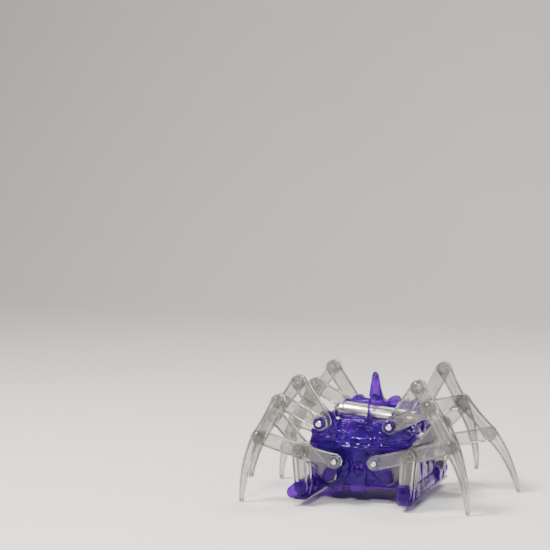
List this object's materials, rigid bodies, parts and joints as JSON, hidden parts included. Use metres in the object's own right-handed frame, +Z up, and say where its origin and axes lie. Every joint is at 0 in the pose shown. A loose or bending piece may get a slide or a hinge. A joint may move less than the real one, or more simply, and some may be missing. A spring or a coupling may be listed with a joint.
{
  "type": "walking spider robot toy",
  "caption": "Motor-driven walking spider toy whose legs are jointed crank linkages around a translucent violet body with a cell on top.",
  "frame": {"origin": "on the floor, under the middle of the whole robot", "axes": "+X from the left legs to the right legs, +Y from the near side to the far side, +Z up"},
  "size_m": [0.1406, 0.0904, 0.0709],
  "materials": {
    "violet_plastic": "translucent gloss",
    "smoke_plastic": "translucent gloss",
    "cell_can": null,
    "motor_can": null,
    "steel": "satin",
    "brass_pinion": "satin",
    "white_nylon": "matte"
  },
  "bodies": {
    "frame": {"lower_chassis": "violet_plastic", "upper_shell": "violet_plastic", "top_deck_and_loop": "violet_plastic", "battery": "cell_can", "left_contact": "steel", "right_contact": "steel", "motor": "motor_can", "motor_end_cap": "white_nylon", "near_left_upper_pivot": "steel", "near_left_foot_pivot": "steel", "near_right_upper_pivot": "steel", "near_right_foot_pivot": "steel", "far_left_upper_pivot": "steel", "far_left_foot_pivot": "steel", "far_right_upper_pivot": "steel", "far_right_foot_pivot": "steel"},
    "left_crankshaft": {"left_axle": "steel", "left_axle_gear": "white_nylon", "near_left_crank": "violet_plastic", "far_left_crank": "violet_plastic"},
    "right_crankshaft": {"right_axle": "steel", "right_axle_gear": "white_nylon", "near_right_crank": "violet_plastic", "far_right_crank": "violet_plastic"},
    "idler": {"idler_gear": "white_nylon"},
    "motor_shaft": {"motor_pinion": "brass_pinion"},
    "switch_slider": {"power_switch": "white_nylon"},
    "near_left_outer_coupler": {"near_left_outer_coupler": "smoke_plastic"},
    "near_left_outer_leg": {"near_left_outer_leg": "smoke_plastic"},
    "near_left_outer_upper_rocker": {"near_left_outer_upper_rocker": "smoke_plastic"},
    "near_left_outer_lower_rocker": {"near_left_outer_lower_rocker": "smoke_plastic"},
    "near_left_inner_coupler": {"near_left_inner_coupler": "smoke_plastic"},
    "near_left_inner_leg": {"near_left_inner_leg": "smoke_plastic"},
    "near_left_inner_upper_rocker": {"near_left_inner_upper_rocker": "smoke_plastic"},
    "near_left_inner_lower_rocker": {"near_left_inner_lower_rocker": "smoke_plastic"},
    "near_right_outer_coupler": {"near_right_outer_coupler": "smoke_plastic"},
    "near_right_outer_leg": {"near_right_outer_leg": "smoke_plastic"},
    "near_right_outer_upper_rocker": {"near_right_outer_upper_rocker": "smoke_plastic"},
    "near_right_outer_lower_rocker": {"near_right_outer_lower_rocker": "smoke_plastic"},
    "near_right_inner_coupler": {"near_right_inner_coupler": "smoke_plastic"},
    "near_right_inner_leg": {"near_right_inner_leg": "smoke_plastic"},
    "near_right_inner_upper_rocker": {"near_right_inner_upper_rocker": "smoke_plastic"},
    "near_right_inner_lower_rocker": {"near_right_inner_lower_rocker": "smoke_plastic"},
    "far_left_outer_coupler": {"far_left_outer_coupler": "smoke_plastic"},
    "far_left_outer_leg": {"far_left_outer_leg": "smoke_plastic"},
    "far_left_outer_upper_rocker": {"far_left_outer_upper_rocker": "smoke_plastic"},
    "far_left_outer_lower_rocker": {"far_left_outer_lower_rocker": "smoke_plastic"},
    "far_left_inner_coupler": {"far_left_inner_coupler": "smoke_plastic"},
    "far_left_inner_leg": {"far_left_inner_leg": "smoke_plastic"},
    "far_left_inner_upper_rocker": {"far_left_inner_upper_rocker": "smoke_plastic"},
    "far_left_inner_lower_rocker": {"far_left_inner_lower_rocker": "smoke_plastic"},
    "far_right_outer_coupler": {"far_right_outer_coupler": "smoke_plastic"},
    "far_right_outer_leg": {"far_right_outer_leg": "smoke_plastic"},
    "far_right_outer_upper_rocker": {"far_right_outer_upper_rocker": "smoke_plastic"},
    "far_right_outer_lower_rocker": {"far_right_outer_lower_rocker": "smoke_plastic"},
    "far_right_inner_coupler": {"far_right_inner_coupler": "smoke_plastic"},
    "far_right_inner_leg": {"far_right_inner_leg": "smoke_plastic"},
    "far_right_inner_upper_rocker": {"far_right_inner_upper_rocker": "smoke_plastic"},
    "far_right_inner_lower_rocker": {"far_right_inner_lower_rocker": "smoke_plastic"}
  },
  "joints": [
    {"name": "left_crankshaft_turn", "type": "hinge", "parent": "frame", "child": "left_crankshaft", "pos_m": [-0.02025, 0, 0.01984], "axis": [0, -1, 0], "range_deg": [-25, 25]},
    {"name": "right_crankshaft_turn", "type": "hinge", "parent": "frame", "child": "right_crankshaft", "pos_m": [0.00715, 0, 0.01984], "axis": [0, -1, 0], "range_deg": [-26, 26]},
    {"name": "idler_turn", "type": "hinge", "parent": "frame", "child": "idler", "pos_m": [-0.00655, 0, 0.01984], "axis": [0, -1, 0], "range_deg": [-52, 52]},
    {"name": "motor_shaft_turn", "type": "hinge", "parent": "frame", "child": "motor_shaft", "pos_m": [-0.01442, 0, 0.02991], "axis": [0, -1, 0], "range_deg": [-129, 129]},
    {"name": "near_left_outer_crank_pin", "type": "hinge", "parent": "left_crankshaft", "child": "near_left_outer_coupler", "pos_m": [-0.01755, -0.037, 0.02451], "axis": [0, -1, 0], "range_deg": [-22, 22]},
    {"name": "near_left_outer_knee", "type": "hinge", "parent": "near_left_outer_coupler", "child": "near_left_outer_leg", "pos_m": [-0.0599, -0.037, 0.03561], "axis": [0, -1, 0], "range_deg": [-10, 10]},
    {"name": "near_left_outer_upper_pivot", "type": "hinge", "parent": "frame", "child": "near_left_outer_upper_rocker", "pos_m": [-0.02595, -0.037, 0.04474], "axis": [0, -1, 0], "range_deg": [-8, 8]},
    {"name": "near_left_outer_foot_pivot", "type": "hinge", "parent": "frame", "child": "near_left_outer_lower_rocker", "pos_m": [-0.03535, -0.037, 0.01004], "axis": [0, -1, 0], "range_deg": [-9, 9]},
    {"name": "near_left_inner_crank_pin", "type": "hinge", "parent": "left_crankshaft", "child": "near_left_inner_coupler", "pos_m": [-0.02295, -0.029, 0.01516], "axis": [0, -1, 0], "range_deg": [-33, 33]},
    {"name": "near_left_inner_knee", "type": "hinge", "parent": "near_left_inner_coupler", "child": "near_left_inner_leg", "pos_m": [-0.05348, -0.029, 0.04654], "axis": [0, -1, 0], "range_deg": [-11, 11]},
    {"name": "near_left_inner_upper_pivot", "type": "hinge", "parent": "frame", "child": "near_left_inner_upper_rocker", "pos_m": [-0.02595, -0.029, 0.04474], "axis": [0, -1, 0], "range_deg": [-13, 13]},
    {"name": "near_left_inner_foot_pivot", "type": "hinge", "parent": "frame", "child": "near_left_inner_lower_rocker", "pos_m": [-0.03535, -0.029, 0.01004], "axis": [0, -1, 0], "range_deg": [-12, 12]},
    {"name": "near_right_outer_crank_pin", "type": "hinge", "parent": "right_crankshaft", "child": "near_right_outer_coupler", "pos_m": [0.00445, -0.037, 0.02451], "axis": [0, -1, 0], "range_deg": [-22, 22]},
    {"name": "near_right_outer_knee", "type": "hinge", "parent": "near_right_outer_coupler", "child": "near_right_outer_leg", "pos_m": [0.04681, -0.037, 0.03561], "axis": [0, -1, 0], "range_deg": [-10, 10]},
    {"name": "near_right_outer_upper_pivot", "type": "hinge", "parent": "frame", "child": "near_right_outer_upper_rocker", "pos_m": [0.01285, -0.037, 0.04474], "axis": [0, -1, 0], "range_deg": [-8, 8]},
    {"name": "near_right_outer_foot_pivot", "type": "hinge", "parent": "frame", "child": "near_right_outer_lower_rocker", "pos_m": [0.02225, -0.037, 0.01004], "axis": [0, -1, 0], "range_deg": [-9, 9]},
    {"name": "near_right_inner_crank_pin", "type": "hinge", "parent": "right_crankshaft", "child": "near_right_inner_coupler", "pos_m": [0.00985, -0.029, 0.01516], "axis": [0, -1, 0], "range_deg": [-33, 33]},
    {"name": "near_right_inner_knee", "type": "hinge", "parent": "near_right_inner_coupler", "child": "near_right_inner_leg", "pos_m": [0.04038, -0.029, 0.04654], "axis": [0, -1, 0], "range_deg": [-11, 11]},
    {"name": "near_right_inner_upper_pivot", "type": "hinge", "parent": "frame", "child": "near_right_inner_upper_rocker", "pos_m": [0.01285, -0.029, 0.04474], "axis": [0, -1, 0], "range_deg": [-13, 13]},
    {"name": "near_right_inner_foot_pivot", "type": "hinge", "parent": "frame", "child": "near_right_inner_lower_rocker", "pos_m": [0.02225, -0.029, 0.01004], "axis": [0, -1, 0], "range_deg": [-12, 12]},
    {"name": "far_left_outer_crank_pin", "type": "hinge", "parent": "left_crankshaft", "child": "far_left_outer_coupler", "pos_m": [-0.02295, 0.037, 0.01516], "axis": [0, -1, 0], "range_deg": [-33, 33]},
    {"name": "far_left_outer_knee", "type": "hinge", "parent": "far_left_outer_coupler", "child": "far_left_outer_leg", "pos_m": [-0.05348, 0.037, 0.04654], "axis": [0, -1, 0], "range_deg": [-11, 11]},
    {"name": "far_left_outer_upper_pivot", "type": "hinge", "parent": "frame", "child": "far_left_outer_upper_rocker", "pos_m": [-0.02595, 0.037, 0.04474], "axis": [0, -1, 0], "range_deg": [-13, 13]},
    {"name": "far_left_outer_foot_pivot", "type": "hinge", "parent": "frame", "child": "far_left_outer_lower_rocker", "pos_m": [-0.03535, 0.037, 0.01004], "axis": [0, -1, 0], "range_deg": [-12, 12]},
    {"name": "far_left_inner_crank_pin", "type": "hinge", "parent": "left_crankshaft", "child": "far_left_inner_coupler", "pos_m": [-0.01755, 0.029, 0.02451], "axis": [0, -1, 0], "range_deg": [-22, 22]},
    {"name": "far_left_inner_knee", "type": "hinge", "parent": "far_left_inner_coupler", "child": "far_left_inner_leg", "pos_m": [-0.0599, 0.029, 0.03561], "axis": [0, -1, 0], "range_deg": [-10, 10]},
    {"name": "far_left_inner_upper_pivot", "type": "hinge", "parent": "frame", "child": "far_left_inner_upper_rocker", "pos_m": [-0.02595, 0.029, 0.04474], "axis": [0, -1, 0], "range_deg": [-8, 8]},
    {"name": "far_left_inner_foot_pivot", "type": "hinge", "parent": "frame", "child": "far_left_inner_lower_rocker", "pos_m": [-0.03535, 0.029, 0.01004], "axis": [0, -1, 0], "range_deg": [-9, 9]},
    {"name": "far_right_outer_crank_pin", "type": "hinge", "parent": "right_crankshaft", "child": "far_right_outer_coupler", "pos_m": [0.00445, 0.037, 0.01516], "axis": [0, -1, 0], "range_deg": [-21, 21]},
    {"name": "far_right_outer_knee", "type": "hinge", "parent": "far_right_outer_coupler", "child": "far_right_outer_leg", "pos_m": [0.03546, 0.037, 0.04608], "axis": [0, -1, 0], "range_deg": [-4, 4]},
    {"name": "far_right_outer_upper_pivot", "type": "hinge", "parent": "frame", "child": "far_right_outer_upper_rocker", "pos_m": [0.01285, 0.037, 0.04474], "axis": [0, -1, 0], "range_deg": [-7, 7]},
    {"name": "far_right_outer_foot_pivot", "type": "hinge", "parent": "frame", "child": "far_right_outer_lower_rocker", "pos_m": [0.02225, 0.037, 0.01004], "axis": [0, -1, 0], "range_deg": [-4, 4]},
    {"name": "far_right_inner_crank_pin", "type": "hinge", "parent": "right_crankshaft", "child": "far_right_inner_coupler", "pos_m": [0.00985, 0.029, 0.02451], "axis": [0, -1, 0], "range_deg": [-28, 28]},
    {"name": "far_right_inner_knee", "type": "hinge", "parent": "far_right_inner_coupler", "child": "far_right_inner_leg", "pos_m": [0.05287, 0.029, 0.03266], "axis": [0, -1, 0], "range_deg": [-5, 5]},
    {"name": "far_right_inner_upper_pivot", "type": "hinge", "parent": "frame", "child": "far_right_inner_upper_rocker", "pos_m": [0.01285, 0.029, 0.04474], "axis": [0, -1, 0], "range_deg": [-6, 6]},
    {"name": "far_right_inner_foot_pivot", "type": "hinge", "parent": "frame", "child": "far_right_inner_lower_rocker", "pos_m": [0.02225, 0.029, 0.01004], "axis": [0, -1, 0], "range_deg": [-8, 8]},
    {"name": "power_switch_slide", "type": "slide", "parent": "frame", "child": "switch_slider", "axis": [0, 1, 0], "range_m": [-0.0017, 0.0017]}
  ],
  "couplings": [
    {"joint": "right_crankshaft_turn", "follows": "left_crankshaft_turn", "ratio": 1},
    {"joint": "idler_turn", "follows": "left_crankshaft_turn", "ratio": -2},
    {"joint": "motor_shaft_turn", "follows": "left_crankshaft_turn", "ratio": 5},
    {"joint": "near_left_outer_crank_pin", "follows": "left_crankshaft_turn", "ratio": -0.838},
    {"joint": "near_left_outer_knee", "follows": "left_crankshaft_turn", "ratio": -0.33},
    {"joint": "near_left_outer_upper_pivot", "follows": "left_crankshaft_turn", "ratio": 0.2733},
    {"joint": "near_left_outer_foot_pivot", "follows": "left_crankshaft_turn", "ratio": 0.2851},
    {"joint": "near_left_inner_crank_pin", "follows": "left_crankshaft_turn", "ratio": -1.2442},
    {"joint": "near_left_inner_knee", "follows": "left_crankshaft_turn", "ratio": 0.376},
    {"joint": "near_left_inner_upper_pivot", "follows": "left_crankshaft_turn", "ratio": -0.4728},
    {"joint": "near_left_inner_foot_pivot", "follows": "left_crankshaft_turn", "ratio": -0.4253},
    {"joint": "near_right_outer_crank_pin", "follows": "left_crankshaft_turn", "ratio": -0.838},
    {"joint": "near_right_outer_knee", "follows": "left_crankshaft_turn", "ratio": -0.33},
    {"joint": "near_right_outer_upper_pivot", "follows": "left_crankshaft_turn", "ratio": 0.2733},
    {"joint": "near_right_outer_foot_pivot", "follows": "left_crankshaft_turn", "ratio": 0.2851},
    {"joint": "near_right_inner_crank_pin", "follows": "left_crankshaft_turn", "ratio": -1.2442},
    {"joint": "near_right_inner_knee", "follows": "left_crankshaft_turn", "ratio": 0.376},
    {"joint": "near_right_inner_upper_pivot", "follows": "left_crankshaft_turn", "ratio": -0.4728},
    {"joint": "near_right_inner_foot_pivot", "follows": "left_crankshaft_turn", "ratio": -0.4253},
    {"joint": "far_left_outer_crank_pin", "follows": "left_crankshaft_turn", "ratio": -1.2442},
    {"joint": "far_left_outer_knee", "follows": "left_crankshaft_turn", "ratio": 0.376},
    {"joint": "far_left_outer_upper_pivot", "follows": "left_crankshaft_turn", "ratio": -0.4728},
    {"joint": "far_left_outer_foot_pivot", "follows": "left_crankshaft_turn", "ratio": -0.4253},
    {"joint": "far_left_inner_crank_pin", "follows": "left_crankshaft_turn", "ratio": -0.838},
    {"joint": "far_left_inner_knee", "follows": "left_crankshaft_turn", "ratio": -0.33},
    {"joint": "far_left_inner_upper_pivot", "follows": "left_crankshaft_turn", "ratio": 0.2733},
    {"joint": "far_left_inner_foot_pivot", "follows": "left_crankshaft_turn", "ratio": 0.2851},
    {"joint": "far_right_outer_crank_pin", "follows": "left_crankshaft_turn", "ratio": -0.7898},
    {"joint": "far_right_outer_knee", "follows": "left_crankshaft_turn", "ratio": -0.0801},
    {"joint": "far_right_outer_upper_pivot", "follows": "left_crankshaft_turn", "ratio": 0.2047},
    {"joint": "far_right_outer_foot_pivot", "follows": "left_crankshaft_turn", "ratio": -0.0975},
    {"joint": "far_right_inner_crank_pin", "follows": "left_crankshaft_turn", "ratio": -1.0438},
    {"joint": "far_right_inner_knee", "follows": "left_crankshaft_turn", "ratio": -0.1546},
    {"joint": "far_right_inner_upper_pivot", "follows": "left_crankshaft_turn", "ratio": 0.1603},
    {"joint": "far_right_inner_foot_pivot", "follows": "left_crankshaft_turn", "ratio": 0.2579}
  ]
}
